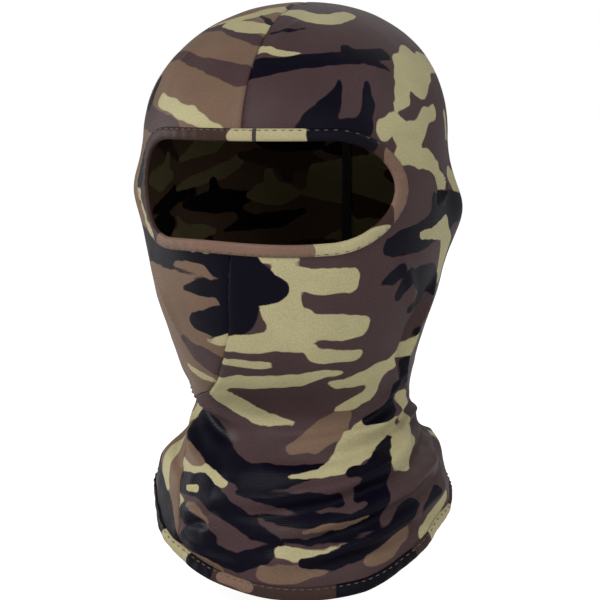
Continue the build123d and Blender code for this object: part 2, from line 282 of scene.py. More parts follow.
# Camo print -----------------------------------------------------------------
# Each shape covers what is under it. Panels: R wearer's right, L left, B both,
# E eye binding, M hem band. Inks: K black, P plum brown, T tan, H khaki.
# Most shapes are the print; a few on the bib's lower corner, and the plum left on
# the hem band's front, are painted shade and painted highlight.
PRINT_WITH_PAINTED_LIGHT = [
    # crown and forehead, wearer's right
    ("R", "P", [(-60, 74, 3), (-30, 74, 4), (-10, 70, 4), (-2, 68, 4)]),
    ("R", "T", [(-60, 68, 3), (-40, 67, 4), (-18, 66, 4), (-3, 61, 4)]),
    ("R", "P", [(-75, 60, 3), (-45, 60, 3), (-25, 57, 4.5), (-2, 51, 6.5)]),
    ("R", "P", [(-75, 34, 8), (-60, 31, 8), (-45, 28, 6.5), (-30, 26, 3.5)]),
    ("R", "H", [(-54, 75.5, 4), (-32, 79, 6), (-14, 83.5, 7), (-2, 84, 7)]),
    ("R", "H", [(-34, 76, 4), (-18, 75, 6), (-4, 74, 6)]),
    ("R", "P", [(-66, 71.5, 3), (-42, 76, 1.6)]),
    ("R", "K", [(-16, 80.5, 0.7), (-8, 79, 1.3), (0, 76.5, 2.2)]),
    ("R", "K", [(-5, 86.5, 1.4), (0, 85, 1.6)]),
    ("R", "H", [(-45, 39.5, 3), (-34, 36, 4), (-22, 32, 4.5), (-14, 28.5, 2.6), (-7, 26, 1)]),
    ("R", "K", [(-58, 47, 4.5), (-58, 37, 5)]),
    # crown and forehead, wearer's left
    ("L", "K", [(3, 71.5, 1.5), (12, 72.5, 1.5), (22, 73.5, 0.8)]),
    ("L", "K", [(6, 87, 2), (25, 86, 2)]),
    ("L", "H", [(3, 82, 5), (14, 81.5, 6.5), (28, 79, 7.5), (42, 79, 7), (58, 81, 4)]),
    ("L", "P", [(60, 85, 3), (40, 86, 3)]),
    ("L", "H", [(1, 64, 3.6), (10, 62.5, 2.6), (22, 61, 0.8)]),
    ("L", "K", [(0, 54, 7.2), (10, 56.5, 5.8), (20, 58, 4.8), (35, 59.5, 4.8), (50, 60.5, 4.8),
                (61, 61, 4)]),
    ("L", "K", [(42, 64, 3)]),
    ("L", "K", [(52, 57.5, 2.6), (60, 53, 1.2)]),
    ("L", "K", [(36.5, 49, 1), (34.5, 42, 3.4), (31, 34, 6.5), (27, 28, 7), (24, 26, 4)]),
    ("L", "K", [(22, 25, 3), (34, 25, 6), (46, 26, 4.5)]),
    ("L", "K", [(48, 46.5, 2), (47.5, 38, 3.6), (46, 28, 4.4)]),
    ("L", "H", [(64, 40, 5), (66, 48, 6), (70, 56, 6.5), (80, 61, 6)]),
    ("L", "H", [(76, 52, 9), (74, 46, 7.5), (90, 57, 6.5), (112, 55, 5)]),
    ("L", "H", [(60, 36, 2.5), (66, 38, 3)]),
    ("L", "H", [(54, 25, 5.5), (58, 29, 5), (64, 21, 7), (71, 22, 6.5), (77, 31, 4.6),
                (84, 33, 3.5)]),
    ("L", "H", [(62, 12, 5), (70, 11, 6), (77, 9, 5.5), (84, 4, 4.5), (89, -3, 3),
                (91, -8, 1.8)]),
    ("L", "P", [(86, 20, 6.5), (96, 15, 5)]),
    ("L", "H", [(97, 30, 3), (99, 20, 3)]),
    # round the wearer's left ear
    ("L", "H", [(100, 0, 4), (106, -7, 6), (122, -9, 5)]),
    ("L", "K", [(82, -12, 4), (92, -15, 8), (112, -18, 8)]),
    ("L", "K", [(90, -14, 6), (80, -24, 6)]),
    ("L", "K", [(57, -33, 5), (68, -30, 8), (80, -25, 9), (97, -20, 9)]),
    ("L", "P", [(64, 0, 5), (72, -6, 7), (76, -14, 5), (66, -18, 5)]),
    ("L", "H", [(74, -28.5, 2.4), (84, -28, 3.6), (94, -26, 6.5), (97, -36, 9.5), (96, -47, 8)]),
    ("L", "P", [(56, -40.5, 2), (70, -42, 2.6), (83, -43, 2.4)]),
    ("L", "K", [(63, -45, 4.2), (57, -52, 4.2), (51, -60, 3.2)]),
    ("L", "K", [(69, -48, 4.5), (64, -58, 3)]),
    ("L", "K", [(75, -49, 6), (84, -50, 7), (92, -55, 6)]),
    ("L", "K", [(81, -57, 5), (74, -65, 3)]),
    ("L", "H", [(95, -62, 2.4), (88, -72, 2.4), (86, -80, 1.6)]),
    ("L", "K", [(83, -76, 1.6), (80, -92, 2.4), (84, -102, 3)]),
    # lower face
    ("L", "H", [(-5, -37, 4), (8, -36, 3), (20, -37, 1.6)]),
    ("L", "H", [(14, -45, 6), (28, -48, 6.8), (41, -48.5, 6)]),
    ("L", "H", [(14, -58, 11), (16, -69, 10), (34, -71.5, 8), (48, -71.5, 6.5)]),
    ("L", "P", [(57, -57, 6), (42, -60.5, 4.2), (29, -61, 2.8)]),
    ("L", "H", [(-12, -79, 4), (0, -79, 5), (16, -80, 7), (24, -84, 5), (37, -86, 4),
                (49, -86.5, 3.2)]),
    ("L", "P", [(58, -81, 2.4), (42, -81, 1.6), (30, -80, 0.8)]),
    ("L", "P", [(22, -87, 3), (12, -85, 2.8), (3, -85.5, 2.4)]),
    ("L", "P", [(22, -90, 3)]),
    ("L", "H", [(-14, -88.5, 2.2), (0, -89.5, 2.6), (8, -89.5, 2)]),
    ("L", "H", [(-24, -101, 4), (-10, -100, 4.6), (8, -99.5, 4.8), (22, -98.5, 4.5), (32, -96, 3),
                (42, -95.5, 1)]),
    ("B", "K", [(-8, -40, 6.5), (2, -43, 8.5), (7, -51, 9), (-4, -52, 9), (-2, -60, 9.5),
                (-4, -67, 8.5), (-16, -69, 7), (-25, -69, 5)]),
    ("B", "K", [(13, -52, 6)]),
    ("B", "K", [(-10, -50, 6.5), (-20, -52, 4), (-28, -53, 1.4)]),
    ("B", "K", [(-14, -41, 6), (-28, -39, 6.5), (-45, -36, 7), (-68, -31, 7.5)]),
    ("R", "T", [(-34, -41.5, 1), (-26, -41.5, 2.4), (-17, -43.5, 2.4), (-10, -47, 1)]),
    ("R", "H", [(-22, -32.5, 1.6), (-3, -34, 1.6)]),
    ("R", "H", [(-10, -77, 3.4), (-16, -78, 2.4), (-22, -78.5, 1)]),
    ("R", "P", [(-38, -80, 3), (-32, -86, 6), (-22, -90, 8), (-16, -92, 7)]),
    ("R", "H", [(-44, -95, 2), (-34, -99, 2.6), (-26, -100, 2)]),
    # neck
    ("L", "H", [(-26, -103, 6), (-27, -109, 7.5), (-18, -112, 8.5), (-9, -117, 6), (-1, -120, 3.4),
                (12, -121.5, 1.4)]),
    ("L", "P", [(-13, -107, 2), (4, -107, 3), (18, -106, 3)]),
    ("L", "T", [(12, -134, 3), (22, -131, 6.5), (30, -126, 8), (38, -119, 6)]),
    ("L", "H", [(36, -101, 1.5), (46, -101.5, 4.5), (56, -99, 5), (66, -94, 4.6), (76, -88, 4),
                (86, -80, 3)]),
    ("L", "H", [(36, -114.5, 1.4), (46, -112.5, 4), (57, -109, 5), (60, -102, 5)]),
    ("L", "P", [(38, -106, 1.5), (50, -105.5, 2)]),
    ("L", "H", [(84, -114, 5), (86, -123, 5)]),
    ("L", "K", [(86, -102, 4), (76, -109, 5), (70, -115, 4.6), (64, -121, 4.4), (52, -124.5, 2.6),
                (44, -126, 1)]),
    # bib
    ("R", "H", [(-64, -118, 5), (-60, -133, 5), (-56, -147, 4.5), (-50, -158, 3)]),
    ("L", "K", [(-60, -122, 6), (-48, -126, 8), (-37, -130, 9.5), (-28, -136, 8.5), (-17, -142, 7),
                (-5, -147, 7.2), (10, -146.5, 6.8), (24, -143, 5), (31, -141, 2.5)]),
    ("L", "H", [(-56, -142, 5), (-44, -144, 6.5), (-33, -146.5, 6), (-23, -149.5, 4.6),
                (-15, -151.5, 2)]),
    ("L", "T", [(-46, -138.5, 4), (-36, -141.5, 4), (-29, -144, 2)]),
    ("L", "H", [(12, -147.5, 1.4), (24, -145.5, 3), (34, -141, 6.5), (42, -134, 9),
                (52, -131, 9.5), (62, -129, 7), (72, -127, 4.5)]),
    ("L", "K", [(88, -101, 4), (78, -109, 5), (72, -116, 4.6), (65, -120.5, 3.6), (53, -123.5, 2)]),
    ("L", "H", [(58, -141, 6), (68, -137, 6.5), (80, -131, 5)]),
    ("L", "H", [(60, -149, 4.5), (66, -144, 4)]),
    ("L", "K", [(66, -131, 1.6), (56, -136, 2.6), (50, -143, 5)]),
    ("L", "K", [(40, -148, 7), (50, -148, 6.5), (46, -156, 9), (43, -165, 9), (34, -172, 6)]),
    ("L", "K", [(-48, -154, 4.5), (-38, -154, 6), (-27, -154, 6.5), (-18, -160, 6.5),
                (-9, -167, 5.5), (-2, -173, 4.6), (6, -176, 2)]),
    ("L", "H", [(-34, -156.5, 1.6), (-29, -156, 2.2)]),
    ("L", "H", [(-44, -160, 4), (-38, -164, 3)]),
    ("L", "K", [(-8, -155, 1), (2, -157, 2.8), (16, -159.5, 4.5), (30, -159, 5.5)]),
    ("L", "K", [(-1, -166, 1.2), (16, -168.5, 3), (34, -167, 5)]),
    ("L", "K", [(-2, -176, 1.2), (20, -178.5, 1.8), (36, -175, 3)]),
    ("L", "P", [(22, -152.5, 1.6), (32, -152, 2.6), (39, -149.5, 1.6)]),
    ("L", "P", [(24, -165, 1), (36, -162.5, 2), (42, -160, 1)]),
    ("L", "T", [(18, -173, 1), (34, -171, 2), (42, -167, 1)]),
    # The black here and two shapes down darkens the bib's lower corner as painted shade; the thin tan
    # curls between, along the curl fold's crest, are a painted highlight.
    ("L", "K", [(-36, -167, 4), (-30, -172, 5), (-20, -178, 4)]),
    ("L", "T", [(-33, -164, 1.4), (-26, -166, 1.8), (-20, -171, 1.2)]),
    ("L", "K", [(-34, -180, 4), (-22, -185, 5), (-8, -190, 5), (2, -186, 5), (8, -182, 3)]),
    ("L", "T", [(-30, -188, 3), (-16, -195, 3.5)]),
    ("L", "H", [(9, -184, 3.2), (15, -185, 3.6), (24, -183.5, 2), (36, -180, 1)]),
    ("L", "T", [(4, -194, 4), (14, -194, 4.6), (24, -192, 4)]),
    ("L", "K", [(18, -188, 3), (28, -188, 5), (42, -183, 5.5), (56, -173, 5), (66, -162, 3)]),
    ("L", "T", [(44, -190, 3), (54, -184, 4), (62, -176, 3)]),
    ("L", "P", [(60, -152, 6), (72, -156, 7), (84, -158, 6)]),
    ("L", "K", [(70, -168, 3), (82, -160, 3)]),
    ("L", "H", [(70, -180, 2.6), (80, -174, 3.2), (88, -164, 3)]),
    ("R", "K", [(-74, -142, 4), (-66, -152, 6), (-57, -162, 7.5), (-48, -171, 8), (-42, -183, 6)]),
    ("R", "K", [(-72, -128, 4), (-84, -134, 6)]),
    # on the back wall, seen through the opening
    ("R", "H", [(-168, -6, 7), (-180, -5, 9)]),
    ("L", "H", [(180, -5, 9), (170, -9, 9), (160, -14, 6), (148, -13, 3)]),
    # eye binding
    ("E", "H", [(0, 23, 6), (22, 23, 5)]),
    ("E", "K", [(28, 23, 6), (46, 21, 7)]),
    ("E", "T", [(57, 13, 6), (62, 0, 9), (62, -15, 8)]),
    ("E", "H", [(30, -32, 6), (44, -31, 6), (54, -26, 5)]),
    ("E", "T", [(-38, -31, 6), (0, -32, 6), (23, -33, 6)]),
    ("E", "H", [(-48, -29, 5), (-62, -18, 9), (-62, -8, 8)]),
    ("E", "K", [(-60, 4, 9), (-58, 14, 8)]),
    # hem band
    ("M", "K", [(-80, None, 7), (-50, None, 7)]),
    ("M", "H", [(-45, None, 7), (-33, None, 6)]),
    ("M", "K", [(-29, None, 5), (-22, None, 5)]),
    ("M", "T", [(-14, None, 3), (-2, None, 3)]),
    # Between the small tan mark and this black one the band keeps its dark plum base, though the print
    # there is tan: painted shade.
    ("M", "K", [(34, None, 6), (62, None, 6)]),
    ("M", "H", [(78, None, 5), (90, None, 5)]),
    ("M", "K", [(120, None, 6), (146, None, 6)]),
    ("M", "T", [(168, None, 7), (190, None, 6)]),
    ("M", "H", [(214, None, 7), (236, None, 6)]),
]
INKS = {"K": 0, "T": 1, "H": 2, "P": 3}
BASE_INK = {"R": "T", "L": "P", "E": "P", "M": "P"}
INK_FILLET = 3.0         # mm
LEFT_SEEN = 104          # past these angles the print is made up
RIGHT_SEEN = 76
BACK_SEAM = 175          # rows of made-up print stop near the back seam
REAR_ROWS = 15
REAR_TOP, REAR_HEIGHT = 84, 232
CROWN_ROWS = 66          # above this height a shape spans twice the angle
REAR_SEED = 23
SHAPE_HALF = (7, 19)     # degrees that a made-up shape runs each side of its middle
SHAPE_THICK = (4.0, 7.5)
SHAPE_TILT, SHAPE_DROP = 8, 4
SHAPE_GAP = (1.7, 2.6)   # from one shape's start to the next, times its half length
LOBE_LEAN = 0.8
ROW_STAGGER = 12


def rear_print():
    """Seeded camo for the sides and back, lobed and level like the front's."""
    rng = np.random.default_rng(REAR_SEED)
    shapes = []
    sides = (("L", 1, LEFT_SEEN, "KHKTHKH"), ("R", -1, RIGHT_SEEN, "KPHKPHP"))
    for panel, side, seen, inks in sides:
        for row in range(REAR_ROWS):
            level = REAR_TOP - REAR_HEIGHT * (row + 0.5) / REAR_ROWS
            edge = seen + rng.uniform(0, ROW_STAGGER)
            while edge < BACK_SEAM:
                ink = inks[rng.integers(len(inks))]
                spread = rng.uniform(*SHAPE_HALF) * (2.0 if level > CROWN_ROWS else 1.0)
                size = rng.uniform(*SHAPE_THICK)
                tilt = rng.uniform(-SHAPE_TILT, SHAPE_TILT)
                t, z = side * (edge + spread), level + rng.uniform(-SHAPE_DROP, SHAPE_DROP)
                # a long level shape, thick in the middle
                shapes.append((panel, ink, [
                    (t - spread, z - tilt, size * 0.45), (t - spread / 3, z, size),
                    (t + spread / 2, z + tilt * 0.5, size * 0.8), (t + spread, z + tilt, size * 0.3)]))
                # and a lobe that stands off it
                lean = rng.uniform(-LOBE_LEAN, LOBE_LEAN)
                shapes.append((panel, ink, [
                    (t + spread * lean * 0.6, z, size * 0.8),
                    (t + spread * lean, z - size * 1.5 * np.sign(tilt), size * 0.45)]))
                edge += spread * rng.uniform(*SHAPE_GAP)
    return shapes


PRINT_WITH_PAINTED_LIGHT = rear_print() + PRINT_WITH_PAINTED_LIGHT  # what is made up goes under what shows


FAR = 20.0               # mm, further from an outline than the shader looks
EDGE_WANDER = [(1.6, 13), (0.8, 4.5)]  # how far an ink's outline wanders, and over how much
# Fixed offsets: the noise module's own vector noise is seeded by the clock.
DRIFT_OFFSETS = (Vector((0.0, 0.0, 0.0)), Vector((31.7, 5.1, 2.3)), Vector((4.9, 47.3, 8.7)))


def drift(places, pitch):
    """A smooth wander for each place, changing over about pitch mm, the same every run."""
    return np.array([[noise.noise(Vector(p) / pitch + offset) for offset in DRIFT_OFFSETS]
                     for p in places])


def print_fields(places, panel):
    """Signed distance to each ink's outline at the places, in mm, minus inside."""
    warped = places
    for reach, pitch in EDGE_WANDER:
        warped = warped + reach * drift(places, pitch)
    fields = np.full((len(places), len(INKS)), FAR)
    fields[:, INKS[BASE_INK[panel]]] = -FAR
    for panels, ink, marks in PRINT_WITH_PAINTED_LIGHT:
        if panels == panel or (panels == "B" and panel in "LR"):
            away = chain_distance(warped, marks)[0]
            # shapes of one ink flow together with a rounded corner
            own = fields[:, INKS[ink]]
            part = np.clip(0.5 + 0.5 * (own - away) / INK_FILLET, 0, 1)
            joined = own * (1 - part) + away * part - INK_FILLET * part * (1 - part)
            for k in range(len(INKS)):
                fields[:, k] = joined if k == INKS[ink] else np.maximum(fields[:, k], -joined)
    return fields


# Mesh helpers ---------------------------------------------------------------
def finish_piece(name, bm, materials, stands_for):
    """Makes the bmesh an object at the origin, riding on the mask's one body."""
    mesh = bpy.data.meshes.new(name)
    bm.to_mesh(mesh)
    bm.free()
    piece = bpy.data.objects.new(name, mesh)
    bpy.context.scene.collection.objects.link(piece)
    for material in materials:
        mesh.materials.append(material)
    mesh.polygons.foreach_set("use_smooth", [True] * len(mesh.polygons))
    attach(piece, "root")
    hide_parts(stands_for)
    return piece


def read_points(bm):
    """The bmesh's points, one row each."""
    return np.array([v.co for v in bm.verts], float)


def move_points(bm, points):
    """Puts the bmesh's points at the places given in millimetres."""
    for v, p in zip(bm.verts, points):
        v.co = Vector(p) * MM


def write_print(bm, places, panel, weave):
    """Puts the print's distances and the knit's own run on the vertices."""
    fields = print_fields(places, panel)
    for name, ink in (("black_ink", "K"), ("tan_ink", "T"), ("khaki_ink", "H")):
        layer = bm.verts.layers.float.new(name)
        for v, f in zip(bm.verts, fields[:, INKS[ink]]):
            v[layer] = f
    run = bm.verts.layers.float_vector.new("knit_run")
    for v, w in zip(bm.verts, weave):
        v[run] = Vector((w[0], w[1], 0))


HOOD_AXIS = Vector((0, 5, -40)) * MM


def outward_faces(bm):
    """Turns the faces outwards by the side that most of them show to the axis."""
    bm.normal_update()
    facing = 0.0
    for f in bm.faces:
        away = f.calc_center_median() - HOOD_AXIS
        facing += f.normal.dot(Vector((away.x, away.y, 0)))
    if facing < 0:
        bmesh.ops.reverse_faces(bm, faces=bm.faces)


# The eye opening ------------------------------------------------------------
OPENING_MIDDLE = -4.0
OPENING_STRAIGHT = 41.0  # half of the straight part, inner edge
OPENING_RADIUS = 24.0
ROUND = 4 * OPENING_STRAIGHT + 2 * pi * OPENING_RADIUS
SAG, SAG_AT, SAG_WIDTH = 2.0, 24, 30  # the lower edge's droop on the wearer's left
RIGHT_END_IN = 4.0       # the right end is drawn in by the cheek
BAND_WIDTH = 6.2         # on the straights; it widens round the two ends
LEFT_END_MORE, RIGHT_END_MORE = 3.0, 5.5
EDGE_ON = 0.999          # as near the form's edge as a front view can reach


def opening_edge(share):
    """Inner edge (x, z) and its outward direction, clockwise from the top middle."""
    s = (share % 1.0) * ROUND
    top, bend = OPENING_STRAIGHT, pi * OPENING_RADIUS
    if s < top:
        x, z, nx, nz = s, OPENING_RADIUS, 0.0, 1.0
    elif s < top + bend:
        turn = (s - top) / OPENING_RADIUS
        nx, nz = sin(turn), cos(turn)
        x, z = top + OPENING_RADIUS * nx, OPENING_RADIUS * nz
    elif s < 3 * top + bend:
        x, z, nx, nz = top - (s - top - bend), -OPENING_RADIUS, 0.0, -1.0
    elif s < 3 * top + 2 * bend:
        turn = (s - 3 * top - bend) / OPENING_RADIUS
        nx, nz = -sin(turn), -cos(turn)
        x, z = -top + OPENING_RADIUS * nx, OPENING_RADIUS * nz
    else:
        x, z, nx, nz = s - ROUND, OPENING_RADIUS, 0.0, 1.0
    sag = -SAG * np.exp(-(((x - SAG_AT) / SAG_WIDTH) ** 2)) if nz < 0 else 0.0
    inwards = RIGHT_END_IN * max(0.0, -nx) ** 2
    return x + inwards, z + OPENING_MIDDLE + sag * -nz, nx, nz


def band_width(nx):
    """The eye band's width where its outward direction's x is nx."""
    return BAND_WIDTH + (LEFT_END_MORE if nx > 0 else RIGHT_END_MORE) * nx * nx


def to_form(x, z):
    """The angle t of the form's front point at x and height z."""
    a = section(z)[0]
    return np.degrees(np.arcsin(np.clip(x / a, -EDGE_ON, EDGE_ON)))


def band_places(shares, across):
    """(t, z) on the form, across -1 at the band's inner edge and 1 at its outer."""
    edge = np.array([opening_edge(s) for s in shares])
    x, z, nx, nz = edge.T
    width = np.array([band_width(n) for n in nx])
    here = plain(to_form(x, z), z)
    step = plain(to_form(x + nx, z + nz), z + nz)
    stretch = np.linalg.norm(step - here, axis=1)
    out = width * (np.asarray(across) + 1) / 2 / stretch
    x, z = x + nx * out, z + nz * out
    return to_form(x, z), z


# Panels ---------------------------------------------------------------------
DOME_ROWS, FACE_ROWS, BIB_ROWS = 84, 86, 50
COLUMNS = 156
FACE_END = -120.0
SEAM_GROOVE = 0.9
SEAM_HALF = 1.5
CHIN_GROOVE = 0.6        # the groove's share of its depth below the opening
PUCKER, PUCKER_PITCH = 0.35, 5.5
EDGE_SAMPLES = 900
OPENING_REACH = 40       # no part of the opening is further than this from its middle
WEAVE_RADIUS = 78        # the knit's run is measured round a tube of this radius
CROWN_RUN, CROWN_STEP = 155, 1.8  # and by rows over the dome, where height tells little
MERGE = 0.00002


def row_height(row, t):
    """The height of a grid row: rows crowd towards the crown and end under the hem band."""
    dome = DOME_BASE + (CROWN_Z - DOME_BASE) * np.cos(pi / 2 * np.clip(row / DOME_ROWS, 0, 1))
    face = DOME_BASE + (FACE_END - DOME_BASE) * np.clip((row - DOME_ROWS) / FACE_ROWS, 0, 1)
    share = np.clip((row - DOME_ROWS - FACE_ROWS) / BIB_ROWS, 0, 1)
    end = hem_level(t) + HEM_WIDTH / 2
    bib = FACE_END + (end - FACE_END) * share
    return np.where(row <= DOME_ROWS, dome, np.where(row <= DOME_ROWS + FACE_ROWS, face, bib))


def panel(name, side, letter, materials, stands_for):
    """One cut panel: a grid laid from the front seam round to the back seam."""
    rows = DOME_ROWS + FACE_ROWS + BIB_ROWS
    bm = bmesh.new()
    bmesh.ops.create_grid(bm, x_segments=COLUMNS, y_segments=rows, size=0.5)
    cells = read_points(bm)
    across = cells[:, 0] + 0.5
    row = (0.5 - cells[:, 1]) * rows
    guess = side * 180 * across
    z = row_height(row, guess)
    for _ in range(3):
        start = seam_angle(z)
        t = start + (side * 180 - start) * across
        z = row_height(row, t)
    points = knit(t, z)
    bare = plain(t, z)
    # the seam draws the two edges in, so a groove runs along it
    radius = section(z)[0]
    front = np.abs(np.radians(t - seam_angle(z))) * radius
    back = np.abs(np.radians(180 - np.abs(t))) * radius
    groove = np.exp(-((np.minimum(front, back) / SEAM_HALF) ** 2))
    pucker = 1 + PUCKER * np.sin(2 * pi * z / PUCKER_PITCH)
    depth = SEAM_GROOVE * np.where(z > 0, 1.0, CHIN_GROOVE)
    points -= outward(t, z) * (depth * groove * pucker)[:, None]
    # the opening: cells inside the binding's middle line go, edge points snap to it
    shares = np.linspace(0, 1, EDGE_SAMPLES, endpoint=False)
    mid_t, mid_z = band_places(shares, np.zeros(len(shares)))
    middle = plain(mid_t, mid_z)
    ways = np.array([opening_edge(s)[2:] for s in shares])
    near = np.where((bare[:, 1] < 0) & (np.abs(bare[:, 2] - OPENING_MIDDLE) < OPENING_REACH))[0]
    inside = np.zeros(len(points), bool)
    snapped = knit(mid_t, mid_z)
    for k in near:
        gap = bare[k][[0, 2]] - middle[:, [0, 2]]
        best = int(np.argmin((gap**2).sum(1)))
        if gap[best] @ ways[best] < 0:
            inside[k] = True
            points[k] = snapped[best]
            t[k], z[k] = mid_t[best], mid_z[best]
    move_points(bm, points)
    run = np.where(row < DOME_ROWS, CROWN_RUN - row * CROWN_STEP, z)
    weave = np.stack([np.radians(t) * WEAVE_RADIUS, run], -1)
    write_print(bm, plain(t, z), letter, weave)
    bm.verts.ensure_lookup_table()
    gone = [f for f in bm.faces if all(inside[v.index] for v in f.verts)]
    bmesh.ops.delete(bm, geom=gone, context="FACES")
    bmesh.ops.remove_doubles(bm, verts=bm.verts, dist=MERGE)
    bmesh.ops.delete(bm, geom=[v for v in bm.verts if not v.link_faces], context="VERTS")
    outward_faces(bm)
    piece = finish_piece(name, bm, materials, stands_for)
    wall = piece.modifiers.new("knit", "SOLIDIFY")
    wall.thickness = KNIT_THICK * MM
    wall.offset = -1
    wall.material_offset = 1
    wall.material_offset_rim = 0
    return piece


# Bands and threads ----------------------------------------------------------
AROUND = 18              # points round a band's section
SPIN_RADIUS = 5
SQUARENESS = 2.5         # a superellipse's power: flat faces, rounded edges
CREASE, CREASE_STEPS = 0.16, 5
CUT_LENGTH = 380         # a strip's length, for the knit's run
CUT_HALF = 4             # and half its width
PROUD_WIDER = 0.05       # how much wider a bar tack is for each mm that it stands proud


def band(name, start, end, steps, place, thick, letter, finish, stands_for, proud=0.0):
    """A folded band: a spun ring whose turns are laid along place(share, across)."""
    whole = end - start == 1
    bm = bmesh.new()
    upright = Matrix.Translation((SPIN_RADIUS, 0, 0)) @ Matrix.Rotation(pi / 2, 4, "X")
    ring = bmesh.ops.create_circle(bm, segments=AROUND, radius=1.0, matrix=upright)
    edges = bm.edges[:]
    if whole:
        bmesh.ops.spin(bm, geom=ring["verts"] + edges, cent=(0, 0, 0), axis=(0, 0, 1), angle=2 * pi,
                       steps=steps, use_merge=True)
    else:
        first = bmesh.ops.contextual_create(bm, geom=edges)["faces"]
        bmesh.ops.spin(bm, geom=ring["verts"] + edges + first, cent=(0, 0, 0), axis=(0, 0, 1), angle=pi,
                       steps=steps)
    cells = read_points(bm)
    turn = np.arctan2(cells[:, 1], cells[:, 0]) % (2 * pi)
    shares = start + (end - start) * turn / (2 * pi if whole else pi)
    out = np.hypot(cells[:, 0], cells[:, 1]) - SPIN_RADIUS
    up = cells[:, 2]
    size = (np.abs(out) ** SQUARENESS + np.abs(up) ** SQUARENESS) ** (1 / SQUARENESS)
    out, up = out / size, up / size
    t, z = place(shares, out * (1 + proud * PROUD_WIDER))
    crease = CREASE * np.sin(2 * pi * shares * steps / CREASE_STEPS) * np.clip(up, 0, 1)
    points = knit(t, z, up * (thick / 2 + proud) + crease)
    move_points(bm, points)
    write_print(bm, plain(t, z), letter, np.stack([out * CUT_HALF, shares * CUT_LENGTH], -1))
    bmesh.ops.recalc_face_normals(bm, faces=bm.faces)
    return finish_piece(name, bm, [finish], stands_for)


def hem_places(shares, across):
    """(t, z) on the hem band, across -1 at its lower edge and 1 at its upper."""
    t = 360 * np.asarray(shares) - 180
    return t, hem_level(t) + HEM_WIDTH * (np.asarray(across) + 1) / 2


STITCH = (2.4, 0.55, 0.5)  # length, width and height of a dash
STITCH_ACROSS = 0.66     # where the row runs, from -1 to 1 across its band
STITCH_LIFT = 1.3
STITCH_AIM = 0.002       # the share of the way round that a dash looks ahead


def stitches(name, count, place, finish, stands_for):
    """Short rounded thread dashes, one for each stitch that shows."""
    shares = (np.arange(count) + 0.5) / count
    across = np.full(count, STITCH_ACROSS)
    t, z = place(shares, across)
    here = knit(t, z, STITCH_LIFT)
    there = knit(*place(shares + STITCH_AIM, across), STITCH_LIFT)
    up = outward(t, z)
    bm = bmesh.new()
    for a, b, n in zip(here, there, up):
        along = Vector(b - a).normalized()
        normal = Vector(n)
        aside = normal.cross(along).normalized()
        normal = along.cross(aside)
        turn = Matrix((along, aside, normal)).transposed().to_4x4()
        shape = Matrix.Diagonal([side / 2 * MM for side in STITCH] + [1])
        bmesh.ops.create_uvsphere(bm, u_segments=8, v_segments=5, radius=1.0,
                                  matrix=Matrix.Translation(Vector(a) * MM) @ turn @ shape)
    return finish_piece(name, bm, [finish], stands_for)


ALLOWANCE = 4.6          # width of the overlocked edges
ALLOWANCE_THICK = 1.0
ALLOWANCE_GAP = 0.35     # between the knit's inside and the allowance
RIB = 0.22
RIB_SLANT = 1.3


def overlock(name, length_rows, path, finish, stands_for):
    """A flat overlocked allowance inside a seam, ribbed by its looper threads."""
    bm = bmesh.new()
    bmesh.ops.create_grid(bm, x_segments=8, y_segments=length_rows, size=0.5)
    cells = read_points(bm)
    share = cells[:, 1] + 0.5
    aside = cells[:, 0] * ALLOWANCE
    t, z = path(share)
    ribs = RIB * np.sin(share * length_rows * pi / 2 + aside * RIB_SLANT)
    inside = -SEAM_GROOVE - KNIT_THICK - ALLOWANCE_GAP
    points = knit(t, z, inside) + outward(t, z) * ribs[:, None]
    points[:, 0] += aside * np.cos(np.radians(t))
    points[:, 1] += aside * np.sin(np.radians(t))
    move_points(bm, points)
    run = bm.verts.layers.float_vector.new("knit_run")
    for v, a, s in zip(bm.verts, aside, share):
        v[run] = Vector((a, s * length_rows, 0))
    outward_faces(bm)
    piece = finish_piece(name, bm, [finish], stands_for)
    wall = piece.modifiers.new("threads", "SOLIDIFY")
    wall.thickness = ALLOWANCE_THICK * MM
    wall.offset = -1
    return piece


HEM_CLEAR = 8            # the allowances stop this far above the hem's edge
UNDER_BINDING = -37
HEM_SEAM_ANGLE = -36.0   # where the front seam meets the hem
FRONT_LEVELS = [28, 45, 62, 74, 82, 86, 87.2]  # heights up the crown seam's front
BACK_LEVELS = [86, 80, 68, 45, 20, -20, -60, -100]  # and down its back
CROWN_CLEAR = 0.3
TURN_PAST = 4            # mm past the top where the path turns to the back


def crown_path(share):
    """Over the crown: from the binding's top edge, back over the head to the nape."""
    nape = float(hem_level(np.array([180.0]))[0]) + HEM_CLEAR
    heights = np.minimum(FRONT_LEVELS + BACK_LEVELS + [nape], CROWN_Z - CROWN_CLEAR)
    angles = np.array([0.0] * len(FRONT_LEVELS) + [180.0] * (len(BACK_LEVELS) + 1))
    spots = plain(angles, heights)
    gone = np.concatenate([[0], np.cumsum(np.linalg.norm(np.diff(spots, axis=0), axis=1))])
    z = np.interp(share * gone[-1], gone, heights)
    turn = gone[len(FRONT_LEVELS) - 1] + TURN_PAST
    t = np.where(share * gone[-1] <= turn, 0.0, 180.0)
    return t, z


def front_path(share):
    """Down the front seam, from the binding's lower edge to just above the hem band."""
    low = float(hem_level(np.array([HEM_SEAM_ANGLE]))[0]) + HEM_CLEAR
    z = UNDER_BINDING + (low - UNDER_BINDING) * share
    return seam_angle(z), z


# Materials ------------------------------------------------------------------
def linear(code):
    """An sRGB hex colour as the linear colour that a socket takes."""
    channels = [int(code[i:i + 2], 16) / 255 for i in (1, 3, 5)]
    return [c / 12.92 if c <= 0.04045 else ((c + 0.055) / 1.055) ** 2.4 for c in channels] + [1.0]


